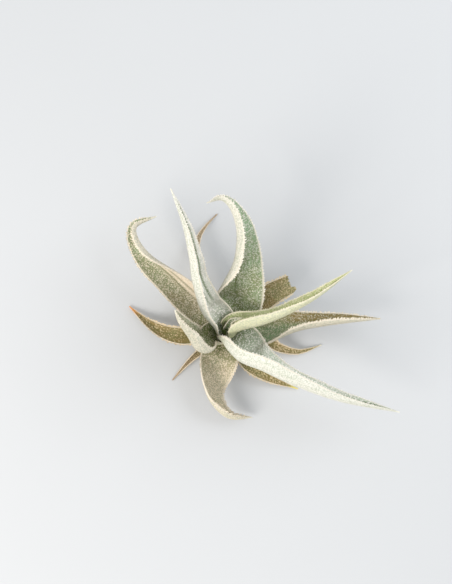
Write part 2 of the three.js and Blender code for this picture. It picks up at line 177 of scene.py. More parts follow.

# Leaves, from the innermost to the outermost, in millimetres and degrees, as their solids are.
# azimuth: direction of the sheath round the axis. foot: [radius, height] of the sheath's middle
# at the stem and where it leaves the bundle. line: the middle of the blade from there to its tip.
# roll, channel and lean: how far the blade is turned about its line, how far its section turns
# from margin to margin, and how far each margin turns beside that, both the same way round,
# evenly spaced from foot to tip. age: at the foot and at the tip, from 0, blue-green, to 1, olive.
# coat: how densely scaled the inner side is, likewise. tip: length of the dry tip, and its
# colour's name. teeth: how large the teeth on the margins are, against the usual size.
# furrows: where creases run along the inner side, from -1 at its right margin to 1 at its left
# one, darkened partly as real dark lines and partly as painted shade. pale: the side of a half
# that is made lighter cream, a painted highlight where its wall faces the light. olive_half: the
# side of a half that is more olive. lime: how yellow-green it is, a real colour made brighter as
# painted light. kept and tear: the share of the length left by a tear, and how far short of that
# the torn end falls, from the right margin to the left.
LEAVES = [
    dict(name="leaf_heart", slot="leaf_silver", azimuth=50, foot=[[0.8, 15.2], [1.4, 18.8]],
         line=[[2.6, 4.2, 24], [7, 5.6, 29.5]],
         roll=[0, -30], channel=[220, 200],
         width=5, sheath=6, thickness=0.8, taper=2, collar=8,
         age=(0.1, 0.3), coat=(0.5, 0.7), tip=(0.4, "bone")),
    dict(name="leaf_rising_right", slot="leaf_silver", azimuth=24, foot=[[1.8, 13.9], [3.4, 18.2]],
         line=[[6, 3.4, 26], [20, 7, 36], [37, 14.9, 42], [54.5, 26.7, 44]],
         roll=[0, -62, -76, -70, -60, -50], channel=[200, 190, 175, 165, 165, 170],
         lean=[0, -10, -20, -10, 0, 0],
         width=16.8, sheath=13, thickness=1.6, taper=1.8, collar=14,
         age=(0.2, 0.5), coat=(0.8, 0.7), tip=(1, "bone"), teeth=0.6, furrows=(0.2,), lime=0.8),
    dict(name="leaf_upright", slot="leaf_silver", azimuth=112, foot=[[2.4, 12.8], [4.8, 17.5]],
         line=[[-7.5, 11, 30], [-11.7, 22.5, 40], [-13.3, 32, 46], [-16.9, 45.5, 51],
               [-23.4, 61, 55]],
         roll=[0, 40, 66, 68, 68, 66], channel=[190, 175, 160, 165, 170, 170],
         lean=[0, 0, 10, 15, 15, 10],
         width=19.2, sheath=15.5, thickness=1.6, taper=2, collar=14,
         age=(0, 0.1), coat=(1.2, 1.25), tip=(2, "bone"), teeth=0.6, furrows=(-0.3, -0.6)),
    dict(name="leaf_long", slot="leaf_silver", azimuth=-35, foot=[[3, 11.7], [5.8, 16.9]],
         line=[[9.3, -9.3, 25.9], [17.3, -13.4, 30.3], [29.3, -20, 32], [51, -29.2, 29],
               [78, -36.8, 22]],
         roll=[0, -60, -78, -76, -70, -62], channel=[170, 160, 150, 160, 170, 175],
         lean=[0, -20, -30, -20, -10, 0],
         width=31, sheath=17.2, thickness=1.7, taper=1.2, collar=14,
         age=(0, 0.1), coat=(1, 1), tip=(2, "bone"), teeth=0.6, furrows=(0.3, 0.55)),
    dict(name="leaf_short", slot="leaf_silver", azimuth=209, foot=[[3.5, 10.6], [7.4, 15]],
         line=[[-10.3, -6.3, 21.8], [-14.6, -0.9, 32.5], [-19.4, 4.8, 42], [-21.8, 9.5, 50]],
         roll=[0, 66, 76, 74, 70], channel=[200, 200, 170, 160], lean=[0, 30, 20, 10],
         width=20, sheath=16.6, thickness=1.6, taper=2.2, collar=20,
         age=(0.5, 0.4), coat=(0.45, 0.8), tip=(1.5, "bone"), teeth=0.8),
    dict(name="leaf_broad", slot="leaf_silver", azimuth=62, foot=[[3.9, 9.5], [8, 14.2]],
         line=[[5, 12, 17.5], [6.5, 22, 26], [8.5, 33.5, 35], [7.5, 45, 41], [3.5, 54, 43],
               [-2, 58, 41.5], [-8.5, 56, 37]],
         roll=[0, -8, 15, 44, 55, 63, 73, 80], channel=[130, 96, 104, 132, 140, 155, 160],
         lean=[0, 10, 30, 30, 25, 20, 10],
         width=25.5, sheath=17, thickness=1.8, taper=2.4, collar=14,
         age=(0.4, 0), coat=(0.42, 0.62), tip=(2.5, "bone"), teeth=0.75, furrows=(0.1,)),
    dict(name="leaf_hooked", slot="leaf_olive", azimuth=142, foot=[[4.5, 8.4], [9.4, 12.3]],
         line=[[-16.5, 13.5, 17.5], [-25.7, 22.4, 23], [-35.4, 31, 26], [-40.9, 39.5, 26],
               [-41, 47, 24], [-31.2, 51.2, 20]],
         roll=[0, 5, 0, -20, -46, -56, -50], channel=[120, 115, 130, 165, 195, 195, 180],
         lean=[0, 0, 0, -10, -20, -20, -10],
         width=17.6, sheath=17.5, thickness=1.7, taper=2.6, collar=14,
         age=(0.7, 0.3), coat=(0.74, 0.62), tip=(3, "bone"), furrows=(-0.55, -0.25), pale=-1),
    dict(name="leaf_right", slot="leaf_olive", azimuth=5, foot=[[4.8, 7.3], [9.8, 11.1]],
         line=[[17.5, 0, 13.9], [33.5, 3.3, 16.8], [51.5, 4.8, 16.3], [70.5, 5, 12]],
         roll=[0, -20, -52, -64, -66, -60], channel=[120, 115, 130, 150, 160],
         lean=[0, -15, -25, -20, -10],
         width=20.5, sheath=19, thickness=1.7, taper=2, collar=14,
         age=(0, 1), coat=(0.45, 0.15), tip=(1.5, "straw"), olive_half=1),
    dict(name="leaf_curled", slot="leaf_olive", azimuth=-100, foot=[[5.2, 6.45], [10.3, 9.7]],
         line=[[-3.5, -14.5, 11.5], [-5.6, -23.5, 11.5], [-4.6, -32, 9.5], [1.8, -39.6, 6.5],
               [12.2, -41, 3]],
         roll=[0, 0, -35, -66, -80, -72], channel=[90, 95, 135, 165, 170],
         width=20, sheath=18, thickness=1.6, taper=2, collar=14,
         age=(0.7, 0.5), coat=(0.92, 1.05), tip=(2, "bone")),
    dict(name="leaf_torn", slot="leaf_olive", azimuth=34, foot=[[5.6, 5.6], [10.9, 8.1]],
         line=[[16.5, 13.5, 10.2], [23, 17.5, 11.7], [31, 21.5, 12.2]],
         roll=[0, 0, 0], channel=[90, 50, 30],
         width=13, sheath=17, thickness=1.2, taper=1.5, collar=12,
         age=(1, 0.9), coat=(0.3, 0.4), tip=(0.6, "straw"), kept=0.5,
         tear=[2.4, 0.4, 0.4, 2, 2, 1.9, 1.7, 1.4, 1.6]),
    dict(name="leaf_left", slot="leaf_olive", azimuth=186, foot=[[6, 4.75], [11.4, 6.95]],
         line=[[-19.5, -3, 7.8], [-28, -1.5, 6.4], [-36.5, 3, 3.5], [-45, 10.5, 0.6]],
         roll=[0, 0, 5, 20, 25], channel=[90, 80, 80, 110, 150],
         width=10, sheath=18, thickness=1.3, taper=1.8, collar=12,
         age=(1, 1), coat=(0, 0.15), tip=(5, "orange")),
    dict(name="leaf_thin", slot="leaf_dry", azimuth=111, foot=[[6.4, 3.9], [11.8, 5.9]],
         line=[[-9.8, 19.5, 7], [-13.9, 31, 6], [-13, 41, 4], [-9.5, 47.5, 2.5], [-4, 53.5, 0.5]],
         roll=[0, 0, 0, 0], channel=[80, 90, 120, 150],
         width=7, sheath=17, thickness=1, taper=1.5, collar=12,
         age=(0.3, 1), coat=(0.3, 0.3), tip=(7, "brown")),
    dict(name="leaf_small_right", slot="leaf_olive", azimuth=-10, foot=[[6.8, 3.05], [12.1, 5.1]],
         line=[[18.5, -5, 5.6], [25.5, -9, 4], [34.5, -10.5, 2], [44.5, -7.5, 0.5]],
         roll=[0, 0, 0, 0], channel=[80, 100, 120, 140],
         width=7, sheath=15, thickness=1, taper=1.5, collar=10,
         age=(1, 0.9), coat=(0.25, 0.5), tip=(2, "bone")),
    dict(name="leaf_small_front", slot="leaf_olive", azimuth=-52, foot=[[7.2, 2.05], [12.4, 3.4]],
         line=[[11, -16.5, 4], [20, -22.6, 2.7], [33.5, -28, 0.8]],
         roll=[0, 0, 0, 0], channel=[80, 80, 90, 120],
         width=9, sheath=16, thickness=1, taper=1.5, collar=10,
         age=(1, 1), coat=(0.1, 0.35), tip=(3.5, "yellow")),
    dict(name="leaf_withered", slot="leaf_dry", azimuth=-135, foot=[[7.6, 1.2], [12.7, 2.3]],
         line=[[-12.5, -11, 2.8], [-18, -16, 2], [-25, -24, 0.5]],
         roll=[0, 0, 0, 0], channel=[120, 190, 210, 200],
         width=6, sheath=15, thickness=0.9, taper=1.5, collar=8,
         age=(1, 1), coat=(0.2, 0.3), tip=(5, "brown")),
]

# Broken-off roots, in degrees and millimetres, as in the stem's solid.
ROOTS = [
    dict(azimuth=-74, reach=6, bend=18),
    dict(azimuth=-28, reach=10, bend=-24),
    dict(azimuth=12, reach=5, bend=20),
    dict(azimuth=48, reach=12, bend=-26),
    dict(azimuth=92, reach=7, bend=24),
    dict(azimuth=128, reach=10, bend=16),
    dict(azimuth=164, reach=5, bend=-18),
]


# Settings that a user would change

def length_setting(name, description, default, least=0.0):
    return bpy.props.FloatProperty(
        name=name, description=description, default=default, min=least, precision=5,
        subtype="DISTANCE", unit="LENGTH")


def share_setting(name, description, default):
    return bpy.props.FloatProperty(
        name=name, description=description, default=default, min=0.0, max=1.0, subtype="FACTOR")


def strength_setting(name, description, default, **kind):
    return bpy.props.FloatProperty(
        name=name, description=description, default=default, min=0.0, **kind)


def count_setting(name, description, default, least=1):
    return bpy.props.IntProperty(name=name, description=description, default=default, min=least)


def colour_setting(name, description, default):
    return bpy.props.FloatVectorProperty(
        name=name, description=description, default=(*default, 1.0), size=4, min=0.0, max=1.0,
        subtype="COLOR")


class LeafSettings(bpy.types.PropertyGroup):
    """Fineness and small forms of the leaf surfaces."""
    rows: count_setting("Rows", "Rows of faces from foot to tip", 170, 12)
    columns: count_setting("Columns", "Columns of faces on each side of a leaf", 36, 8)
    vein_depth: length_setting("Vein depth", "Relief of the lengthwise ribs", 0.035 * MM)
    groove_depth: length_setting("Groove depth", "Groove along the channel", 0.12 * MM)
    furrow_depth: length_setting("Furrow depth", "Depth of the furrows beside it", 0.22 * MM)
    furrow_width: length_setting("Furrow width", "Half a furrow's width", 0.55 * MM, 0.01 * MM)
    margin_wave: length_setting("Margin wave", "How far the margins wave", 0.09 * MM)
    unevenness: length_setting("Unevenness", "Slow swells of the surface", 0.09 * MM)


class ScaleSettings(bpy.types.PropertyGroup):
    """The coat of tiny white scales on the leaves."""
    length: length_setting("Length", "Length of one scale", 0.74 * MM, 0.05 * MM)
    width: length_setting("Width", "Width of one scale", 0.6 * MM, 0.05 * MM)
    inner_pitch: length_setting(
        "Inner pitch", "Distance between scales on the inner side", 0.84 * MM, 0.2 * MM)
    outer_pitch: length_setting(
        "Outer pitch", "Distance between scales on the outer side", 0.5 * MM, 0.2 * MM)
    clumping: share_setting("Clumping", "How patchy the scales of the inner side are", 0.4)
    fringe_length: length_setting("Fringe length", "Length of the margins' teeth", 1.2 * MM)
    fringe_width: length_setting("Fringe width", "Width of the margins' teeth", 0.7 * MM)
    fringe_pitch: length_setting("Fringe pitch", "Distance between teeth", 1.2 * MM, 0.1 * MM)
    lift: bpy.props.FloatProperty(
        name="Lift", description="How far the scales stand off the leaf",
        default=math.radians(26), subtype="ANGLE", unit="ROTATION")
    seed: count_setting("Seed", "Seed of the random draws", 11)


class StemSettings(bpy.types.PropertyGroup):
    """The stem and its roots."""
    rings: count_setting("Rings", "Rings of faces up the stem", 110, 12)
    sides: count_setting("Sides", "Faces round the stem", 160, 12)
    fibre_depth: length_setting("Fibre depth", "Relief of the fibres", 0.16 * MM)
    root_radius: length_setting("Root radius", "Radius of a root at the stem", 0.45 * MM)
    root_sides: count_setting("Root sides", "Faces round a root", 12, 3)
    root_steps: count_setting("Root steps", "Steps along a root", 60, 6)


class FinishSettings(bpy.types.PropertyGroup):
    """Colours of the plant."""
    young: colour_setting("Young leaf", "Inner side of a young leaf", (0.19, 0.30, 0.15))
    old: colour_setting("Old leaf", "Inner side of an old leaf", (0.22, 0.16, 0.055))
    deep: colour_setting("Deep", "Inner side near the foot, and the stem's top", (0.20, 0.26, 0.08))
    bloom: colour_setting("Bloom", "Outer side, under its dense scales", (0.52, 0.53, 0.44))
    # Vein colour: the deep lines between the ribs, and also the painted shade along the channel's
    # bottom and in the furrows
    vein_and_shade: colour_setting("Vein", "Deep lines between the ribs", (0.07, 0.09, 0.02))
    # Lime: a real yellow-green, made brighter as painted light in the channel
    lime: colour_setting("Lime", "A yellow-green channel", (0.60, 0.64, 0.24))
    edge: colour_setting("Edge", "Thin margins", (0.76, 0.68, 0.56))
    white: colour_setting("Scale", "Scales on a healthy leaf", (0.85, 0.82, 0.77))
    grey: colour_setting("Old scale", "Scales on an old leaf", (0.74, 0.59, 0.37))
    bone: colour_setting("Bone", "Pale dry tips", (0.78, 0.75, 0.62))
    # Cream: the tint of old margins, and the painted highlight laid on one half of a channel
    cream: colour_setting("Cream", "A bleached half", (0.74, 0.62, 0.48))
    straw: colour_setting("Straw", "Dry tips", (0.62, 0.52, 0.30))
    orange: colour_setting("Orange", "A scorched tip", (0.78, 0.30, 0.06))
    yellow: colour_setting("Yellow", "A yellowing tip", (0.76, 0.66, 0.10))
    brown: colour_setting("Brown", "Withered leaf", (0.33, 0.23, 0.14))
    bark: colour_setting("Bark", "Stem and roots", (0.15, 0.085, 0.05))
    husk: colour_setting("Husk", "Dry sheaths, and the bark's threads", (0.42, 0.30, 0.18))


class StageSettings(bpy.types.PropertyGroup):
    """Floor, light and camera."""
    floor_size: length_setting(
        "Floor size", "Side of the floor", 40 * (CAD_BOX[1].x - CAD_BOX[0].x))
    floor_colour: colour_setting("Floor colour", "Colour of the floor", (0.515, 0.52, 0.525))
    sky_colour: colour_setting("Sky colour", "Light from all round", (0.96, 0.98, 1.0))
    sky_strength: strength_setting("Sky strength", "Strength of the light from all round", 0.84)
    key_power: strength_setting(
        "Key power", "Power of the main soft light", 5.6, subtype="POWER", unit="POWER")
    fill_power: strength_setting(
        "Fill power", "Power of the soft light opposite", 4.2, subtype="POWER", unit="POWER")
    camera_height: length_setting("Camera height", "Height of the camera above the floor", 0.6)
    camera_forward: length_setting("Camera forward", "Place of the camera along +Y", 17.1 * MM)
    lens: bpy.props.FloatProperty(
        name="Lens", description="Focal length in millimetres", default=79.45, min=1.0)


SETTINGS = {
    "leaf_settings": LeafSettings,
    "scale_settings": ScaleSettings,
    "stem_settings": StemSettings,
    "finish_settings": FinishSettings,
    "stage_settings": StageSettings,
}


# Curves and surfaces

def through(values, t):
    """A smooth line through evenly spaced values, for t from 0 to 1. Between two values it is the
    cubic whose slope at each is half the difference of its neighbours. Past the ends the values
    go on in a straight line."""
    values = np.asarray(values, float)
    padded = np.concatenate(
        [2 * values[:1] - values[1:2], values, 2 * values[-1:] - values[-2:-1]])
    spans = len(values) - 1
    place = np.clip(t, 0, 1) * spans
    first = np.clip(place.astype(int), 0, spans - 1)
    w = place - first
    if values.ndim > 1:
        w = w[..., None]
    before, start, end, after = (padded[first + k] for k in range(4))
    leave = (end - before) / 2
    arrive = (after - start) / 2
    cubic = 2 * start - 2 * end + leave + arrive
    square = 3 * end - 3 * start - 2 * leave - arrive
    return ((cubic * w + square) * w + leave) * w + start


def smooth(x):
    """0 below 0, 1 above 1, and three squares less two cubes between."""
    x = np.clip(x, 0, 1)
    return x * x * (3 - 2 * x)


def unit(vectors):
    """Each vector divided by its length."""
    return vectors / np.maximum(np.linalg.norm(vectors, axis=-1, keepdims=True), 1e-12)


def polar(radius, angle, height):
    """Points at a radius, an angle in radians and a height."""
    across, along = radius * np.cos(angle), radius * np.sin(angle)
    return np.stack(np.broadcast_arrays(across, along, height), -1)


def swell(random, a, b, longest, count=6):
    """A slow random swell over two lengths: the mean of a few sine waves in random directions,
    none shorter than a third of the longest."""
    total = np.zeros(np.broadcast(a, b).shape)
    for heading, wave, phase in zip(random.uniform(0, np.pi, count),
                                    random.uniform(longest / 3, longest, count),
                                    random.uniform(0, 2 * np.pi, count)):
        total += np.sin(2 * np.pi * (a * np.cos(heading) + b * np.sin(heading)) / wave + phase)
    return total / count


class Blade:
    """One leaf's middle sheet, at t from its foot to its tip and u from -1 at its right margin to
    1 at its left one, in millimetres."""

    def __init__(self, leaf, number):
        self.leaf = leaf
        azimuth = math.radians(leaf["azimuth"])
        foot = [list(polar(radius, azimuth, height)) for radius, height in leaf["foot"]]
        self.points = np.array(foot + leaf["line"], float)
        self.steps = np.linspace(0, 1, LINE_SAMPLES)
        walked = np.linalg.norm(np.diff(through(self.points, self.steps), axis=0), axis=1)
        self.reached = np.concatenate([[0], np.cumsum(walked)])
        self.length = self.reached[-1]
        self.wave_starts = np.random.default_rng(100 + number).uniform(0, 2 * np.pi, 4)

    def line(self, t):
        """The middle line's point and direction at a share t of its length."""
        step = np.interp(t * self.length, self.reached, self.steps)
        ahead = through(self.points, step + STEP_OF_DIFFERENCE)
        behind = through(self.points, step - STEP_OF_DIFFERENCE)
        return through(self.points, step), unit(ahead - behind)

    def in_sheath(self, t):
        """1 at the foot, falling smoothly to 0 over the collar."""
        return smooth(1 - t * self.length / self.leaf["collar"])

    def width(self, t):
        """The flat width: a blade that narrows by a power of t, widening into the sheath."""
        inside = self.in_sheath(t)
        gone = (np.clip(t, 0, 1) * self.leaf.get("kept", 1)) ** self.leaf["taper"]
        blade = self.leaf["width"] * (1 - gone)
        return np.maximum(blade * (1 - inside) + self.leaf["sheath"] * inside, NARROWEST)

    def thickness(self, t, u):
        """Thin in the sheath, at the margins and at the tip, fleshy between."""
        body = smooth(t / BODY_START) * (1 - t**BODY_POWER)
        fleshy = self.leaf["thickness"] - THINNEST
        return THINNEST + fleshy * body * (1 - MARGIN_THINNING * u * u)

    def wave(self, t, u):
        """The margins' wave: a coarse sine and half a fine one along each margin, growing with
        the cube of the distance from the middle."""
        left, left_fine, right, right_fine = (
            np.sin(t * self.length / run + start)
            for run, start in zip(MARGIN_WAVE_RUNS, self.wave_starts))
        height = np.where(u > 0, left + 0.5 * left_fine, right + 0.5 * right_fine)
        return np.abs(u) ** 3 * height * np.minimum(1, self.width(t) / FULL_WAVE_WIDTH)

    def section(self, t, u):
        """Where the section is at u, beside and above its middle. It turns towards both margins
        by half the channel times u, and by the lean times u squared, and is summed in steps."""
        channel = np.radians(through(self.leaf["channel"], t))[..., None]
        lean = np.radians(through(self.leaf.get("lean", [0, 0]), t))[..., None]
        u = np.asarray(u)[..., None]
        v = u * (np.arange(SECTION_STEPS) + 0.5) / SECTION_STEPS
        turn = channel / 2 * v + lean * v * v
        step = self.width(t) * u[..., 0] / (2 * SECTION_STEPS)
        return np.cos(turn).sum(-1) * step, np.sin(turn).sum(-1) * step

    def sheet(self, t, u, wave_height):
        """The middle sheet. The blade's section lies across the line and is rolled about it, and
        has the line halfway between its middle and its margins. The sheath's is an arc round the
        stem's axis. The two are blended over the collar."""
        centre, forward = self.line(t)
        level = unit(np.stack([-forward[..., 1], forward[..., 0], 0 * forward[..., 0]], -1))
        upward = np.cross(forward, level)
        roll = np.radians(through(self.leaf["roll"], t))[..., None]
        across = level * np.cos(roll) + upward * np.sin(roll)
        inward = upward * np.cos(roll) - level * np.sin(roll)
        inside = self.in_sheath(t)
        sideways, lift = self.section(t, u)
        right, left = self.section(t, -np.ones_like(t)), self.section(t, np.ones_like(t))
        sideways = sideways - (right[0] + left[0]) / 4 * (1 - inside)
        lift = lift - (right[1] + left[1]) / 4 * (1 - inside) + wave_height * self.wave(t, u)
        blade = centre + across * sideways[..., None] + inward * lift[..., None]
        around = np.hypot(centre[..., 0], centre[..., 1])
        wrap = np.minimum(self.width(t) / (2 * around), math.radians(WIDEST_WRAP))
        bearing = np.arctan2(centre[..., 1], centre[..., 0])
        cup = polar(around, bearing + u * wrap, centre[..., 2])
        return blade + (cup - blade) * inside[..., None]

    def directions(self, t, u, wave_height):
        """Unit vectors towards the tip, towards the left margin and out of the inner side."""
        step = STEP_OF_DIFFERENCE
        ahead = self.sheet(np.minimum(t + step, 1), u, wave_height)
        behind = self.sheet(np.maximum(t - step, 0), u, wave_height)
        leftward = self.sheet(t, u + step, wave_height) - self.sheet(t, u - step, wave_height)
        forward = unit(ahead - behind)
        out = unit(np.cross(forward, leftward))
        return forward, unit(np.cross(out, forward)), out

    def furrow(self, t, u, half_width):
        """1 in the middle of a furrow, falling off beside it as a bell curve. Furrows fade in
        from the foot and out at the tip, and narrow with the blade."""
        deepest = np.zeros(np.broadcast(t, u).shape)
        half_width = half_width * np.minimum(1, self.width(t) / FULL_FURROW_WIDTH)
        for place in self.leaf.get("furrows", []):
            beside = (u - place) * self.width(t) / 2
            deepest = np.maximum(deepest, np.exp(-(beside / half_width) ** 2))
        fade = smooth((t - FURROW_FROM) / FURROW_RUN) * smooth((FURROW_END - t) / FURROW_END_RUN)
        return deepest * fade

    def ends(self, u):
        """How far up the line each column runs: all the way, or short of it by the tear, which
        is ragged by a few fine sine waves."""
        if "tear" not in self.leaf:
            return np.ones_like(u)
        rag = sum(height * np.sin(rate * u + start) for height, rate, start in TEAR_RAGS)
        return 1 - (through(self.leaf["tear"], (u + 1) / 2) + rag) / self.length


# Meshes

def new_piece(name, points, quads, triangles, material, values=None, uv=None, rounded=True):
    """A mesh object from whole arrays: points in millimetres, faces by their corners, and a value
    for each point in every named attribute."""
    quads = np.asarray(quads, np.int32).reshape(-1, 4)
    triangles = np.asarray(triangles, np.int32).reshape(-1, 3)
    corners = np.concatenate([quads.ravel(), triangles.ravel()])
    starts = np.concatenate(
        [np.arange(len(quads)) * 4, 4 * len(quads) + np.arange(len(triangles)) * 3])
    mesh = bpy.data.meshes.new(name)
    mesh.vertices.add(len(points))
    mesh.vertices.foreach_set("co", (np.asarray(points, float) * MM).astype(np.float32).ravel())
    mesh.loops.add(len(corners))
    mesh.loops.foreach_set("vertex_index", corners)
    mesh.polygons.add(len(starts))
    mesh.polygons.foreach_set("loop_start", starts.astype(np.int32))
    mesh.polygons.foreach_set("use_smooth", np.full(len(starts), rounded))
    if uv is not None:
        layer = mesh.uv_layers.new(name="surface")
        layer.data.foreach_set("uv", (np.asarray(uv)[corners] * MM).astype(np.float32).ravel())
    for label, numbers in (values or {}).items():
        attribute = mesh.attributes.new(label, "FLOAT", "POINT")
        attribute.data.foreach_set("value", np.asarray(numbers, np.float32).ravel())
    mesh.update(calc_edges=True)
    if mesh.validate():
        raise RuntimeError(f"{name} has faces that can't be right")
    mesh.materials.append(material)
    piece = bpy.data.objects.new(name, mesh)
    bpy.context.scene.collection.objects.link(piece)
    return piece


def ring_faces(rings, corners):
    """Four-sided faces between rings of points, round and round. Seen from outside, a ring runs
    clockwise about the way that the rings follow each other."""
    ring, corner = np.meshgrid(np.arange(rings - 1), np.arange(corners), indexing="ij")
    here = ring * corners + corner
    beside = ring * corners + (corner + 1) % corners
    return np.stack([here, beside, beside + corners, here + corners], -1).reshape(-1, 4)


def fan_faces(first, corners, middle, in_order):
    """Triangles between a ring, from its first point on, and one point in its middle, in the
    ring's order or against it."""
    around = first + np.arange(corners)
    ahead = first + (np.arange(corners) + 1) % corners
    pair = [around, ahead] if in_order else [ahead, around]
    return np.stack([*pair, np.full(corners, middle)], -1)


def end_fans(rings, corners, in_order):
    """Both ends of a run of rings closed onto the two points that follow them."""
    count = rings * corners
    return np.concatenate([fan_faces(0, corners, count, not in_order),
                           fan_faces(count - corners, corners, count + 1, in_order)])


def leaf_piece(blade, settings, material):
    """A closed leaf. Round its section the angle runs from the left margin over the inner side to
    the right margin and back over the outer side, and u is the angle's cosine. Each side stands
    off the middle sheet by half the thickness, and within half a thickness of a margin it closes
    in a quarter circle. The last stretch of the tip closes in the same way, onto one point."""
    leaf = blade.leaf
    torn = "tear" in leaf
    columns = settings.columns * (2 if torn else 1)
    count = 2 * columns
    angle = np.arange(count) * np.pi / columns
    side = np.sin(angle)
    rounding = TIP_ROUND / blade.length
    body = np.linspace(0, 1 if torn else 1 - rounding, settings.rows)
    last = 1 - rounding + rounding * np.sin(np.linspace(0, np.pi / 2, TIP_RINGS + 2)[1:-1])
    share = body if torn else np.concatenate([body, last])
    closing = np.ones_like(share)
    if not torn:
        closing = np.sqrt(1 - np.clip((share - 1 + rounding) / rounding, 0, 1) ** 2)
    closing = closing[:, None, None]
    share, u = np.meshgrid(share, np.cos(angle), indexing="ij")
    t = share * blade.ends(u)
    wave_height = settings.margin_wave / MM
    middle = blade.sheet(t, u, wave_height)
    spine = blade.sheet(t, 0 * u, wave_height)
    out = blade.directions(t, u, wave_height)[2]
    width = blade.width(t)
    near = np.clip((np.abs(u) - 1) * width / THINNEST + 1, 0, 1)
    edge = np.sqrt(1 - near**2)
    half = blade.thickness(t, u) / 2 * edge
    if torn:
        half = half * (1 - TORN_THINNING * smooth((share - TORN_FROM) / TORN_RUN))
    random = np.random.default_rng(len(leaf["name"]) * 7 + int(leaf["width"] * 10))
    across = u * width / 2
    along = t * blade.length
    ribs = np.cos(np.pi * across / RIB_WIDTH) * settings.vein_depth / MM
    swells = swell(random, along, across * SWELL_SQUEEZE, SWELL_LENGTH) * settings.unevenness / MM
    groove = np.exp(-(across / GROOVE_WIDTH) ** 2) * settings.groove_depth / MM
    groove = groove * smooth((width - GROOVED_FROM) / GROOVED_RUN)
    inner = side > 0
    furrow = blade.furrow(t, u, settings.furrow_width / MM) * inner
    hollow = groove * inner + furrow * settings.furrow_depth / MM
    relief = (ribs + swells - hollow) * edge * smooth(width / FULL_RELIEF_WIDTH)
    stand = np.sign(np.round(side, 9)) * (half + relief * 0.5)
    points = spine + (middle - spine) * closing + out * stand[..., None] * closing
    top = (len(points) - 1) * count
    front = np.arange(columns)
    back = (count - front) % count
    cap = np.stack([front, back, (back - 1) % count, front + 1], -1)[1:-1]
    quads = [ring_faces(len(points), count), cap]
    triangles = [[[0, count - 1, 1], [columns - 1, columns + 1, columns]]]
    extra = np.zeros((0, 3))
    if torn:
        quads.append(cap[:, ::-1] + top)
        triangles.append([[top, top + 1, top + count - 1],
                          [top + columns - 1, top + columns, top + columns + 1]])
    else:
        extra = blade.sheet(np.ones(1), np.zeros(1), wave_height)
        triangles.append(fan_faces(top, count, top + count, True))

    def each(grid, at_tip):
        return np.concatenate([np.asarray(grid, float).ravel(), np.full(len(extra), at_tip)])

    values = {
        "along": each(along, blade.length),
        "to_tip": each(blade.length - along, 0.0),
        "beside": each(u, 0.0),
        "inner": each(np.broadcast_to(smooth(0.5 + side * SIDE_SHARPNESS), u.shape), 0.5),
        "furrow": each(furrow, 0.0),
    }
    uv = np.stack([each(across, 0.0), each(along, blade.length)], -1)
    return new_piece(leaf["name"] + "_skin", np.concatenate([points.reshape(-1, 3), extra]),
                     np.concatenate(quads), np.concatenate(triangles), material, values, uv)


def scale_faces(count):
    """Each scale is a tent on four points, root, left wing, right wing and raised tip: four
    faces."""
    corners = np.array([[0, 2, 3], [0, 3, 1], [0, 1, 2], [1, 3, 2]])
    return (corners[None] + 4 * np.arange(count)[:, None, None]).reshape(-1, 3)


def scale_points(place, forward, leftward, out, length, width, lift):
    """The four points of every scale, which starts a little under the skin and rises to its
    tip."""
    length, width, lift = length[:, None], width[:, None], lift[:, None]
    root = place - forward * length * SCALE_ROOT - out * SCALE_SINK
    tip = place + forward * length * SCALE_TIP * np.cos(lift) + out * length * np.sin(lift)
    left = place + leftward * width / 2 - out * SCALE_SINK * 0.5
    right = place - leftward * width / 2 - out * SCALE_SINK * 0.5
    return np.stack([root, left, right, tip], 1).reshape(-1, 3)


def turned(forward, leftward, angle):
    """The two directions turned in their plane."""
    cosine = np.cos(angle)[:, None]
    sine = np.sin(angle)[:, None]
    return forward * cosine + leftward * sine, leftward * cosine - forward * sine


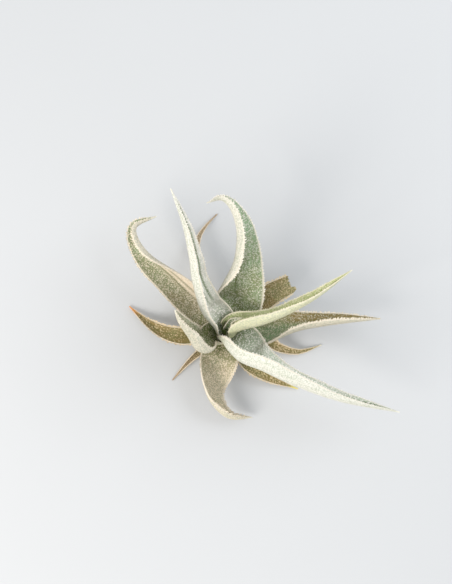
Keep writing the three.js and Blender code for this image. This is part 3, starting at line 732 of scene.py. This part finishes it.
def coat_of_scales(blade, settings, wave_height, random):
    """Scales over both sides: a lattice of rows half a step apart, jittered, cut to the blade's
    width at each row, and standing on the skin with their tips towards the leaf's tip. The inner
    side's are fewer and more worn where the coat is thin, clump in slow swells, and leave the
    sheath and the furrows barer."""
    widest = max(blade.leaf["width"], blade.leaf["sheath"])
    points = []
    looks = []
    for side, pitch, fineness, shades in (
            (1, settings.inner_pitch / MM, INNER_FINENESS, INNER_SHADES),
            (-1, settings.outer_pitch / MM, OUTER_FINENESS, OUTER_SHADES)):
        rows = np.arange(0.5 * pitch, blade.length - 0.2, pitch * ROW_SPACING)
        steps = np.arange(-widest / 2, widest / 2, pitch)
        along, across = np.meshgrid(rows, steps, indexing="ij")
        across = across + pitch / 2 * (np.arange(len(rows)) % 2)[:, None]
        shape = along.shape
        along = (along + random.uniform(-SCALE_JITTER, SCALE_JITTER, shape) * pitch).ravel()
        across = (across + random.uniform(-SCALE_JITTER, SCALE_JITTER, shape) * pitch).ravel()
        t = np.clip(along / blade.length, 0, 1)
        u = across / (blade.width(t) / 2)
        chance = random.random(len(u))
        kept = (np.abs(u) < COAT_EDGE) & (t < blade.ends(np.clip(u, -1, 1)))
        bare = np.zeros(len(t))
        if side > 0:
            clump = 0.5 + 2 * swell(random, along, across, COAT_CLUMP, COAT_CLUMP_WAVES)
            foot_coat, tip_coat = blade.leaf["coat"]
            rise = smooth((t - COAT_FROM) / COAT_RUN)
            bare = np.clip(1 - foot_coat - (tip_coat - foot_coat) * rise, 0, 1)
            missing = BARE_MISSING * bare * (0.5 + settings.clumping * np.clip(clump, 0, 1))
            missing = missing + SHEATH_MISSING * blade.in_sheath(t)
            kept &= chance > missing + FURROW_MISSING * blade.furrow(t, u, FURROW_BARE_WIDTH)
        t, u, bare = t[kept], u[kept], bare[kept]
        forward, leftward, out = blade.directions(t, u, wave_height)
        out = out * side
        place = blade.sheet(t, u, wave_height) + out * (blade.thickness(t, u) / 2)[:, None]
        turn = random.normal(0, SCALE_TURN, len(t))
        forward, leftward = turned(forward, leftward * side, turn)
        narrow = SMALLEST_SCALE + (1 - SMALLEST_SCALE) * smooth(blade.width(t) / FULL_SCALE_WIDTH)
        size = random.uniform(*SCALE_SIZES, len(t)) * narrow * fineness
        lift = settings.lift * fineness * random.uniform(*SCALE_LIFTS, len(t))
        points.append(scale_points(place, forward, leftward, out, settings.length / MM * size,
                                   settings.width / MM * size, lift))
        shade = random.uniform(*shades, len(t))
        looks.append(np.stack([shade, bare * random.uniform(LEAST_WORN, 1, len(t))], -1))
    return points, looks


def fringe(blade, settings, wave_height, random):
    """Teeth on both margins that lean outward and to the tip: a row of large ones, and one of
    small ones twice as close."""
    points = []
    looks = []
    pitch = settings.fringe_pitch / MM
    for margin in (-1, 1):
        for spacing, large in ((pitch, 1.0), (pitch / 2, SMALL_TEETH)):
            reach = blade.length * blade.ends(np.full(1, float(margin)))[0]
            along = np.arange(spacing, reach, spacing)
            along = along + random.uniform(-TOOTH_JITTER, TOOTH_JITTER, len(along)) * spacing
            t = np.clip(along / blade.length, 0, 1)
            u = np.full(len(t), float(margin))
            forward, leftward, out = blade.directions(t, u, wave_height)
            outward = leftward * margin
            heading = turned(forward, outward, random.uniform(*TOOTH_TURNS, len(t)))[0]
            tilt = random.uniform(-TOOTH_TILT, TOOTH_TILT, len(t))[:, None]
            up = unit(out * np.cos(tilt) + outward * np.sin(tilt))
            wide = smooth(blade.width(t) / FULL_TOOTH_WIDTH)
            size = large * random.uniform(*TOOTH_SIZES, len(t)) * blade.leaf.get("teeth", 1)
            size = size * (SMALLEST_TOOTH + (1 - SMALLEST_TOOTH) * wide)
            size = size * (1 - SHEATH_TOOTH_LOSS * blade.in_sheath(t))
            place = blade.sheet(t, u, wave_height) + outward * TOOTH_REACH * size[:, None]
            points.append(scale_points(
                place, unit(heading), unit(np.cross(heading, up)), up,
                settings.fringe_length / MM * size, settings.fringe_width / MM * size,
                random.uniform(*TOOTH_LIFTS, len(t))))
            shade = DULLEST_TOOTH + (1 - DULLEST_TOOTH) * random.random(len(t))
            looks.append(np.stack([shade, 0 * t], -1))
    return points, looks


def scales_piece(blade, settings, wave_height, material, number):
    """All the scales of one leaf, as one mesh of small closed tents."""
    random = np.random.default_rng(settings.seed * 1000 + number)
    points, looks = coat_of_scales(blade, settings, wave_height, random)
    teeth, teeth_looks = fringe(blade, settings, wave_height, random)
    points = np.concatenate(points + teeth).reshape(-1, 4, 3)
    clear = points[..., 2].min(1) > GROUND_CLEARANCE
    points = points[clear].reshape(-1, 3)
    shade, worn = np.repeat(np.concatenate(looks + teeth_looks)[clear], 4, axis=0).T
    return new_piece(blade.leaf["name"] + "_scales", points, [], scale_faces(len(points) // 4),
                     material, {"shade": shade, "worn": worn}, rounded=False)


def stem_piece(settings, material):
    """A surface of revolution: a flat foot, a rounded shoulder and a cone ringed by scars.
    Fibres, fine waves round the axis that drift with height, and slow lumps are added to its
    radius."""
    angle = np.arange(settings.sides) * 2 * np.pi / settings.sides
    t = np.linspace(0, 1, settings.rings)
    height = STEM_SHOULDER + (STEM_HEIGHT - STEM_SHOULDER) * t
    cone = STEM_TIP_RADIUS + (STEM_RADIUS - STEM_TIP_RADIUS) * (1 - t**STEM_FULLNESS)
    scar = SCAR_DEPTH * np.cos(2 * np.pi * (height - STEM_SHOULDER) / SCAR_PITCH)
    turn = np.linspace(0, np.pi / 2, SHOULDER_RINGS + 1)[:-1]
    edge = FOOT_RADIUS + (cone[0] - scar[0] - FOOT_RADIUS) * np.sin(turn)
    rise = STEM_SHOULDER * (1 - np.cos(turn))
    foot = np.linspace(0.5, FOOT_RADIUS, FOOT_RINGS + 1)[:-1]
    radius = np.concatenate([foot, edge, cone - scar])
    height = np.concatenate([np.zeros(len(foot)), rise, height])
    radius, angle = np.meshgrid(radius, angle, indexing="ij")
    height = np.broadcast_to(height[:, None], radius.shape)
    drift = angle + 0.15 * np.sin(height * 1.3)
    few, many = FIBRES_ROUND
    fibre = np.sin(few * drift) * 0.5 + np.sin(many * drift + 1.3 * np.sin(height * 0.8)) * 0.5
    lumps = np.sin(5 * angle + height) * np.sin(height * 2.1 + 2 * angle)
    fade = smooth(height / FOOT_SMOOTH_BELOW) * smooth(radius / AXIS_SMOOTH_WITHIN)
    rough = settings.fibre_depth / MM * (FIBRE_SHARE * fibre + LUMP_SHARE * lumps) * fade
    rings, sides = radius.shape
    points = np.concatenate([polar(radius + rough, angle, height).reshape(-1, 3),
                             [[0, 0, 0], [0, 0, STEM_HEIGHT + STEM_TIP_RADIUS]]])
    return new_piece("stem_body", points, ring_faces(rings, sides), end_fans(rings, sides, True),
                     material)


def tube(path, radius, sides):
    """A closed tube round a path of points: a ring of the given radius at each, level on one
    side, and one point at each end. Gives its points, its four-sided faces and its triangles."""
    forward = unit(np.gradient(path, axis=0))
    level = unit(np.cross(forward, np.array([0.0, 0.0, 1.0])))[:, None]
    upward = np.cross(level, forward[:, None])
    angle = np.arange(sides)[None, :, None] * 2 * np.pi / sides
    ring = level * np.cos(angle) + upward * np.sin(angle)
    points = path[:, None] + ring * radius[..., None]
    return (np.concatenate([points.reshape(-1, 3), path[:1], path[-1:]]),
            ring_faces(len(path), sides)[:, ::-1], end_fans(len(path), sides, False))


def root_path(root, t, thickness):
    """A root's path: out of the foot, down, and along the ground with a bend."""
    reach, bend = root["reach"], root["bend"]
    ground = thickness + ROOT_CLEARANCE
    outward = [ROOT_START, 0.25 * reach, 0.6 * reach, reach]
    heights = [ROOT_HEIGHT, ROOT_HEIGHT, ground + 0.1, ground]
    angle = np.radians(root["azimuth"] + through([0, 0, 0.4 * bend, bend], t))
    radius = FOOT_RADIUS + through(outward, t)
    return polar(radius, angle, np.maximum(through(heights, t), ground))


def roots_piece(settings, material):
    """The roots: tapering, knotted tubes that wander a little, with broken ends."""
    random = np.random.default_rng(ROOT_SEED)
    points, quads, triangles = [], [], []
    offset = 0
    t = np.linspace(0, 1, settings.root_steps)
    angle = np.arange(settings.root_sides) * 2 * np.pi / settings.root_sides
    thickness = settings.root_radius / MM
    for root in ROOTS:
        sideways = np.sin(t * 9 + random.uniform(0, 6))
        forward = np.sin(t * 7 + random.uniform(0, 6))
        wander = np.stack([sideways, forward, 0 * t], -1) * ROOT_WANDER
        path = root_path(root, t, thickness) + wander * smooth(t * 2)[:, None]
        knots = 1 + 0.12 * np.sin(t * 31 + random.uniform(0, 6)) + 0.08 * np.sin(t * 57)
        taper = (1 - ROOT_TAPER * t) * np.where(t > BROKEN_FROM, BROKEN_RADIUS, 1)
        ridges = 1 + 0.08 * np.sin(3 * angle[None] + t[:, None] * 6)
        radius = thickness * (knots * taper)[:, None] * ridges
        part, faces, ends = tube(path, radius * ROOT_SLIMNESS, settings.root_sides)
        points.append(part)
        quads.append(faces + offset)
        triangles.append(ends + offset)
        offset += len(part)
    return new_piece("stem_roots", np.concatenate(points), np.concatenate(quads),
                     np.concatenate(triangles), material)


# Node groups and materials

FLOAT = "NodeSocketFloat"
VECTOR = "NodeSocketVector"


def put(tree, kind, sockets=None, **options):
    """A node with its options set, and each named or numbered input linked or given its value."""
    node = tree.nodes.new(kind)
    for option, value in options.items():
        setattr(node, option, value)
    for key, value in (sockets or {}).items():
        if isinstance(value, bpy.types.NodeSocket):
            tree.links.new(value, node.inputs[key])
        else:
            node.inputs[key].default_value = value
    return node


def read(tree, label):
    """A value that the mesh carries at each point."""
    return put(tree, "ShaderNodeAttribute", attribute_name=label).outputs["Fac"]


def math_on(tree, operation, first, second=0.0):
    """The result of one piece of arithmetic."""
    return put(tree, "ShaderNodeMath", {0: first, 1: second}, operation=operation).outputs[0]


def product(tree, first, *others):
    """Values multiplied together."""
    for other in others:
        first = math_on(tree, "MULTIPLY", first, other)
    return first


def total(tree, first, *others):
    """Values added together."""
    for other in others:
        first = math_on(tree, "ADD", first, other)
    return first


def opposite(tree, value):
    """1 less the value."""
    return math_on(tree, "SUBTRACT", 1.0, value)


def mix(tree, amount, first, second):
    """The colour between two others."""
    return put(tree, "ShaderNodeMix", {0: amount, 6: first, 7: second}, data_type="RGBA").outputs[2]


def layered(tree, colour, *layers):
    """A colour under layers, each a colour laid over the rest as strongly as its values say,
    multiplied together."""
    for *strength, over in layers:
        colour = mix(tree, product(tree, *strength), colour, over)
    return colour


def ramp(tree, value, start, end, low=0.0, high=1.0):
    """A value's smooth change from low to high as it passes from start to end."""
    return put(tree, "ShaderNodeMapRange", {
        "Value": value, "From Min": start, "From Max": end, "To Min": low, "To Max": high,
    }, interpolation_type="SMOOTHSTEP").outputs["Result"]


def blend(first, second, amount):
    """The fixed colour that lies a share of the way from one to another."""
    return np.array(first) * (1 - amount) + np.array(second) * amount


def new_group(name, inputs, outputs):
    """An empty node group with its named inputs and outputs."""
    tree = bpy.data.node_groups.new(name, "ShaderNodeTree")
    for label, kind, default in inputs:
        socket = tree.interface.new_socket(name=label, in_out="INPUT", socket_type=kind)
        if default is not None:
            socket.default_value = default
    for label in outputs:
        tree.interface.new_socket(name=label, in_out="OUTPUT", socket_type=FLOAT)
    return tree, tree.nodes.new("NodeGroupInput").outputs, tree.nodes.new("NodeGroupOutput").inputs


def fleck_group():
    """Small round flecks: cells whose middles are nearer than a limit that slow noise raises and
    lowers."""
    tree, given, result = new_group(
        "flecks", [("Vector", VECTOR, None), ("Per Metre", FLOAT, 2200.0), ("Cover", FLOAT, 0.4)],
        ["Mask", "Height"])
    place = given["Vector"]
    cells = put(tree, "ShaderNodeTexVoronoi", {"Vector": place, "Scale": given["Per Metre"]})
    noise = put(tree, "ShaderNodeTexNoise", {"Vector": place, "Scale": 420.0, "Detail": 2.0})
    raised = total(tree, given["Cover"], product(tree, noise.outputs["Fac"], 0.4), -0.2)
    inside = math_on(tree, "SUBTRACT", raised, cells.outputs["Distance"])
    tree.links.new(ramp(tree, inside, -0.08, 0.12), result["Mask"])
    tree.links.new(ramp(tree, inside, -0.1, 0.4), result["Height"])
    return tree


def streak_group():
    """Lengthwise streaks: noise on the surface's own map, drawn out along the leaf."""
    tree, given, result = new_group(
        "streaks",
        [("Vector", VECTOR, None), ("Per Metre", FLOAT, 900.0), ("Stretch", FLOAT, 0.06)],
        ["Mask", "Height"])
    scale = put(tree, "ShaderNodeCombineXYZ", {0: 1.0, 1: given["Stretch"], 2: 1.0}).outputs[0]
    drawn = put(tree, "ShaderNodeVectorMath", {0: given["Vector"], 1: scale}, operation="MULTIPLY")
    noise = put(tree, "ShaderNodeTexNoise", {
        "Vector": drawn.outputs[0], "Scale": given["Per Metre"], "Detail": 4.0, "Roughness": 0.6})
    tree.links.new(ramp(tree, noise.outputs["Fac"], 0.38, 0.66), result["Mask"])
    tree.links.new(noise.outputs["Fac"], result["Height"])
    return tree


def blotch_group():
    """Broad soft patches, from slow noise."""
    tree, given, result = new_group(
        "blotches", [("Vector", VECTOR, None), ("Per Metre", FLOAT, 90.0), ("Seed", FLOAT, 0.0)],
        ["Mask"])
    noise = put(tree, "ShaderNodeTexNoise", {
        "Vector": given["Vector"], "W": given["Seed"], "Scale": given["Per Metre"], "Detail": 3.0,
    }, noise_dimensions="4D")
    tree.links.new(ramp(tree, noise.outputs["Fac"], 0.35, 0.68), result["Mask"])
    return tree


def zone_group():
    """Zones of a leaf, from its attributes: foot, sheath, dry tip, margins, middle, outer side,
    share of the length, and the half that takes a painted highlight."""
    names = ["Foot", "Sheath", "Tip", "Margin", "Middle", "Outer", "Along", "Lit Half"]
    tree, given, result = new_group(
        "leaf_zones",
        [("Foot Length", FLOAT, 12.0), ("Tip Length", FLOAT, 2.0), ("Margin Start", FLOAT, 0.9),
         ("Length", FLOAT, 60.0), ("Pale Side", FLOAT, 1.0)], names)
    along = read(tree, "along")
    across = read(tree, "beside")
    beside = math_on(tree, "ABSOLUTE", across)
    zones = [
        ramp(tree, along, 0.0, given["Foot Length"], 1.0, 0.0),
        ramp(tree, along, 9.0, 3.0),
        ramp(tree, read(tree, "to_tip"), 0.0, given["Tip Length"], 1.0, 0.0),
        ramp(tree, beside, given["Margin Start"], 1.0),
        ramp(tree, beside, 0.55, 0.1),
        ramp(tree, read(tree, "inner"), 0.0, 1.0, 1.0, 0.0),
        math_on(tree, "DIVIDE", along, given["Length"]),
        ramp(tree, product(tree, across, given["Pale Side"]), -0.05, 0.55),
    ]
    for name, zone in zip(names, zones):
        tree.links.new(zone, result[name])
    return tree


GROUPS = {"flecks": fleck_group, "streaks": streak_group, "blotches": blotch_group,
          "leaf_zones": zone_group}


def group(tree, name, sockets):
    """A placed node group's outputs. It is built the first time that it is asked for."""
    made = bpy.data.node_groups.get(name) or GROUPS[name]()
    return put(tree, "ShaderNodeGroup", sockets, node_tree=made).outputs


def new_material(name, roughness, sheen=0.0):
    """A material with one Principled shader, with its tree, its Object coordinates and the
    shader's inputs."""
    material = bpy.data.materials.new(name)
    material.use_nodes = True
    tree = material.node_tree
    shader = tree.nodes["Principled BSDF"].inputs
    shader["Roughness"].default_value = roughness
    shader["Sheen Weight"].default_value = sheen
    shader["Sheen Roughness"].default_value = 0.5
    shader["Specular IOR Level"].default_value = 0.25
    return material, tree, put(tree, "ShaderNodeTexCoord").outputs["Object"], shader


def bump(tree, height, distance, shader):
    """A height, times a distance in metres, as relief on the shader's normal."""
    node = put(tree, "ShaderNodeBump", {"Height": height, "Distance": distance, "Strength": 0.7})
    tree.links.new(node.outputs["Normal"], shader["Normal"])


def scale_white(leaf, colours):
    """The colour of a leaf's scales: duller on an old leaf, greener on a yellow-green one."""
    white = blend(colours.white, colours.grey, sum(leaf["age"]) / 2)
    return blend(white, colours.lime, LIME_ON_SCALES * leaf.get("lime", 0))


def leaf_material(leaf, colours, number):
    """Leaf skin: green that turns olive with age, in patches and streaks, under pale flecks, and
    deep green near the foot. Its outer side has a dense bloom, its margins are pale and its tip
    is dry. One half may be lighter cream, a painted highlight where its wall faces the light, or
    more olive. The channel may be yellow-green, a real colour made brighter as painted light.
    Its bottom is darkened as painted shade, and its furrows partly as real dark lines and partly
    as painted shade."""
    material, tree, place, shader = new_material(leaf["name"] + "_finish", 0.72, 0.05)
    surface = put(tree, "ShaderNodeUVMap", uv_map="surface").outputs["UV"]
    foot_age, tip_age = leaf["age"]
    mean_age = (foot_age + tip_age) / 2
    tip_length, tip_colour = leaf["tip"]
    lime, highlight_side = leaf.get("lime", 0), leaf.get("pale", 0)
    zones = group(tree, "leaf_zones", {
        "Foot Length": 17.0, "Tip Length": tip_length * TIP_FADE, "Margin Start": 0.9,
        "Length": Blade(leaf, number).length, "Pale Side": float(highlight_side)})
    patches = group(tree, "blotches", {"Vector": place, "Per Metre": 150.0, "Seed": number * 3.7})
    streaks = group(tree, "streaks", {"Vector": surface, "Per Metre": 750.0, "Stretch": 0.06})
    flecks = group(tree, "flecks", {"Vector": place, "Per Metre": 1150.0, "Cover": 0.4})
    dense = group(tree, "flecks", {"Vector": place, "Per Metre": 1500.0, "Cover": 0.55})
    foot, middle = zones["Foot"], zones["Middle"]
    furrow = read(tree, "furrow")

    young, old = colours.young, colours.old
    if leaf["slot"] == "leaf_dry":
        young, old = old, colours.brown
    # One half made more olive, growing towards its margin
    olive_side = product(tree, read(tree, "beside"), float(leaf.get("olive_half", 0)))
    age = total(tree, ramp(tree, zones["Along"], 0.25, 0.7, foot_age, tip_age),
                ramp(tree, olive_side, 0.0, 0.5, 0.0, OLIVE_HALF_AGE),
                product(tree, patches["Mask"], AGE_PATCHES), -AGE_PATCHES / 2)
    # Yellow-green, more in the channel's middle: a real colour, made brighter as painted light
    limy = total(tree, product(tree, middle, LIME_IN_MIDDLE * lime), LIME_ALL_OVER * lime)
    lines = total(tree, product(tree, foot, FOOT_STREAKS), STREAKS)
    green = layered(
        tree, mix(tree, age, young, old),
        (limy, colours.lime),
        (foot, FOOT_GREEN, colours.deep),
        (streaks["Mask"], lines, colours.vein_and_shade),
        # Painted shade along the bottom of the channel
        (middle, GROOVE_PAINTED_SHADE * (1 - lime), colours.vein_and_shade),
        # Painted highlight: one half made lighter cream where its wall faces the light
        (zones["Lit Half"], HALF_PAINTED_HIGHLIGHT * abs(highlight_side), colours.cream),
        # The furrows darkened: partly real dark lines, partly painted shade in the creases
        (furrow, FURROW_PAINTED_SHADE, colours.vein_and_shade))

    pale = scale_white(leaf, colours)
    coat = ramp(tree, zones["Along"], COAT_FROM, COAT_FROM + COAT_RUN, *leaf["coat"])
    flat, past_foot = opposite(tree, furrow), opposite(tree, foot)
    inner = layered(
        tree, green,
        (past_foot, flat, math_on(tree, "POWER", coat, 3.0), COAT_FILM, pale),
        (flecks["Mask"], flat, coat, INNER_SPECKLE, pale))

    limy = total(tree, product(tree, foot, OUTER_FOOT_GREEN), OUTER_LIME * lime)
    outer = layered(
        tree, blend(colours.bloom, colours.old, OLD_BLOOM * mean_age),
        (dense["Mask"], OUTER_SPECKLE, pale),
        (streaks["Mask"], OUTER_STREAKS, green),
        (limy, np.array(colours.lime) * OUTER_LIME_SHADE),
        (zones["Sheath"], SHEATH_HUSK + OLD_SHEATH_HUSK * foot_age, colours.husk))

    skin = layered(
        tree, inner,
        (zones["Outer"], outer),
        (zones["Margin"], MARGIN_PALENESS, blend(colours.edge, colours.cream, OLD_EDGE * mean_age)),
        (zones["Tip"], TIP_DRYNESS, getattr(colours, tip_colour)))
    tree.links.new(skin, shader["Base Color"])
    tree.links.new(ramp(tree, flecks["Mask"], 0.0, 1.0, 0.62, 0.85), shader["Roughness"])
    bump(tree, total(tree, product(tree, flecks["Height"], 0.6),
                     product(tree, streaks["Height"], 0.8)), 0.00015, shader)
    return material


def scale_material(leaf, colours):
    """Scales: white, a little different one from the next, in soft patches, and the more like the
    skin the more worn they are."""
    material, tree, place, shader = new_material(leaf["name"] + "_scale_finish", 0.8, 0.1)
    patches = group(tree, "blotches", {"Vector": place, "Per Metre": 160.0, "Seed": 2.0})
    white = scale_white(leaf, colours)
    colour = layered(
        tree, white * SOFT_SCALE,
        (read(tree, "shade"), white),
        (read(tree, "worn"), WORN_TO_SKIN, blend(colours.young, colours.old, sum(leaf["age"]) / 2)),
        (patches["Mask"], SCALE_PATCHES, white * PATCH_SHADE))
    tree.links.new(colour, shader["Base Color"])
    return material


def bark_material(colours):
    """Stem and roots: dark fibrous bark with paler threads and worn patches, and fresh green
    where the youngest leaves grow."""
    material, tree, place, shader = new_material("bark_finish", 0.9, 0.1)
    streaks = group(tree, "streaks", {"Vector": place, "Per Metre": 1500.0, "Stretch": 1.0})
    patches = group(tree, "blotches", {"Vector": place, "Per Metre": 240.0, "Seed": 8.0})
    height = put(tree, "ShaderNodeSeparateXYZ", {0: place}).outputs["Z"]
    fresh_from, fresh_to = (share * STEM_HEIGHT * MM for share in FRESH_STEM)
    colour = layered(
        tree, colours.bark,
        (patches["Mask"], np.array(colours.bark) * WORN_BARK),
        (streaks["Mask"], BARK_THREADS, colours.husk),
        (ramp(tree, height, fresh_from, fresh_to), colours.deep))
    tree.links.new(colour, shader["Base Color"])
    bump(tree, streaks["Height"], 0.0003, shader)
    return material


def floor_material(colour):
    """A plain pale floor with the faintest mottling."""
    material, tree, place, shader = new_material("floor_finish", 0.9)
    patches = group(tree, "blotches", {"Vector": place, "Per Metre": 6.0, "Seed": 1.0})["Mask"]
    mottled = mix(tree, patches, colour, np.array(colour) * FLOOR_MOTTLE)
    tree.links.new(mottled, shader["Base Color"])
    return material


# Operators

def settle(piece, slot_name, *nodes):
    """A finished piece rides on the plant and stands for its solids. Its slot name is not used."""
    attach(piece, "root")
    if nodes:
        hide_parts(*nodes)


class AIRPLANT_OT_leaves(bpy.types.Operator):
    """Build the fine surface of every leaf in place of its solid"""
    bl_idname = "airplant.leaves"
    bl_label = "Leaves"

    def execute(self, context):
        scene = context.scene
        for number, leaf in enumerate(LEAVES):
            material = leaf_material(leaf, scene.finish_settings, number)
            piece = leaf_piece(Blade(leaf, number), scene.leaf_settings, material)
            settle(piece, leaf["slot"], leaf["name"])
        return {"FINISHED"}


class AIRPLANT_OT_scales(bpy.types.Operator):
    """Cover every leaf with scales and fringe its margins"""
    bl_idname = "airplant.scales"
    bl_label = "Scales"

    def execute(self, context):
        scene = context.scene
        wave_height = scene.leaf_settings.margin_wave / MM
        for number, leaf in enumerate(LEAVES):
            material = scale_material(leaf, scene.finish_settings)
            piece = scales_piece(
                Blade(leaf, number), scene.scale_settings, wave_height, material, number)
            settle(piece, leaf["slot"])
        return {"FINISHED"}


class AIRPLANT_OT_stem(bpy.types.Operator):
    """Build the stem and its roots in place of their solid"""
    bl_idname = "airplant.stem"
    bl_label = "Stem and roots"

    def execute(self, context):
        scene = context.scene
        material = bark_material(scene.finish_settings)
        settle(stem_piece(scene.stem_settings, material), "stem_bark", "stem")
        settle(roots_piece(scene.stem_settings, material), "stem_bark")
        return {"FINISHED"}


class AIRPLANT_OT_stage(bpy.types.Operator):
    """Lay the floor, hang the soft lights and set the camera"""
    bl_idname = "airplant.stage"
    bl_label = "Stage"

    def execute(self, context):
        scene = context.scene
        settings = scene.stage_settings
        half = settings.floor_size / 2 / MM
        corners = [[x, y, -FLOOR_DROP]
                   for x, y in ((-half, -half), (half, -half), (half, half), (-half, half))]
        material = floor_material(settings.floor_colour)
        floor = new_piece("floor", corners, [[0, 1, 2, 3]], [], material)
        self.soft_light(scene, "key", settings.key_power, **KEY_LIGHT)
        self.soft_light(scene, "fill", settings.fill_power, **FILL_LIGHT)
        world = bpy.data.worlds.new("sky")
        world.use_nodes = True
        background = world.node_tree.nodes["Background"].inputs
        background["Color"].default_value = settings.sky_colour
        background["Strength"].default_value = settings.sky_strength
        scene.world = world
        scene.view_settings.view_transform = "Standard"
        camera = bpy.data.cameras.new("camera")
        camera.lens = settings.lens
        camera.clip_start = NEAREST_SEEN
        viewer = bpy.data.objects.new("camera", camera)
        viewer.location = (0, settings.camera_forward, settings.camera_height)
        scene.collection.objects.link(viewer)
        scene.camera = viewer
        return {"FINISHED"}

    def soft_light(self, scene, name, power, size, place, colour):
        """A square lamp that faces the plant."""
        lamp = bpy.data.lights.new(name, "AREA")
        lamp.energy = power
        lamp.size = size
        lamp.color = colour
        holder = bpy.data.objects.new(name, lamp)
        holder.location = place
        x, y, z = place
        tip = math.atan2(math.hypot(x, y), z)
        holder.rotation_euler = (tip, 0, math.atan2(y, x) + math.pi / 2)
        scene.collection.objects.link(holder)


class AIRPLANT_PT_panel(bpy.types.Panel):
    """The steps that build the plant, and its settings"""
    bl_label = "Air Plant"
    bl_idname = "AIRPLANT_PT_panel"
    bl_space_type = "VIEW_3D"
    bl_region_type = "UI"
    bl_category = "Air Plant"

    def draw(self, context):
        for operator in OPERATORS:
            self.layout.operator(operator.bl_idname)
        for name, kind in SETTINGS.items():
            box = self.layout.box()
            box.label(text=kind.__doc__)
            for setting in kind.__annotations__:
                box.prop(getattr(context.scene, name), setting)


OPERATORS = [AIRPLANT_OT_leaves, AIRPLANT_OT_scales, AIRPLANT_OT_stem, AIRPLANT_OT_stage]
CLASSES = [*SETTINGS.values(), *OPERATORS, AIRPLANT_PT_panel]


def register():
    for kind in CLASSES:
        bpy.utils.register_class(kind)
    for name, kind in SETTINGS.items():
        setattr(bpy.types.Scene, name, bpy.props.PointerProperty(type=kind))


def unregister():
    for name in SETTINGS:
        delattr(bpy.types.Scene, name)
    for kind in reversed(CLASSES):
        bpy.utils.unregister_class(kind)


def main():
    register()
    bpy.ops.airplant.leaves()
    bpy.ops.airplant.scales()
    bpy.ops.airplant.stem()
    bpy.ops.airplant.stage()


if __name__ == "__main__":
    main()
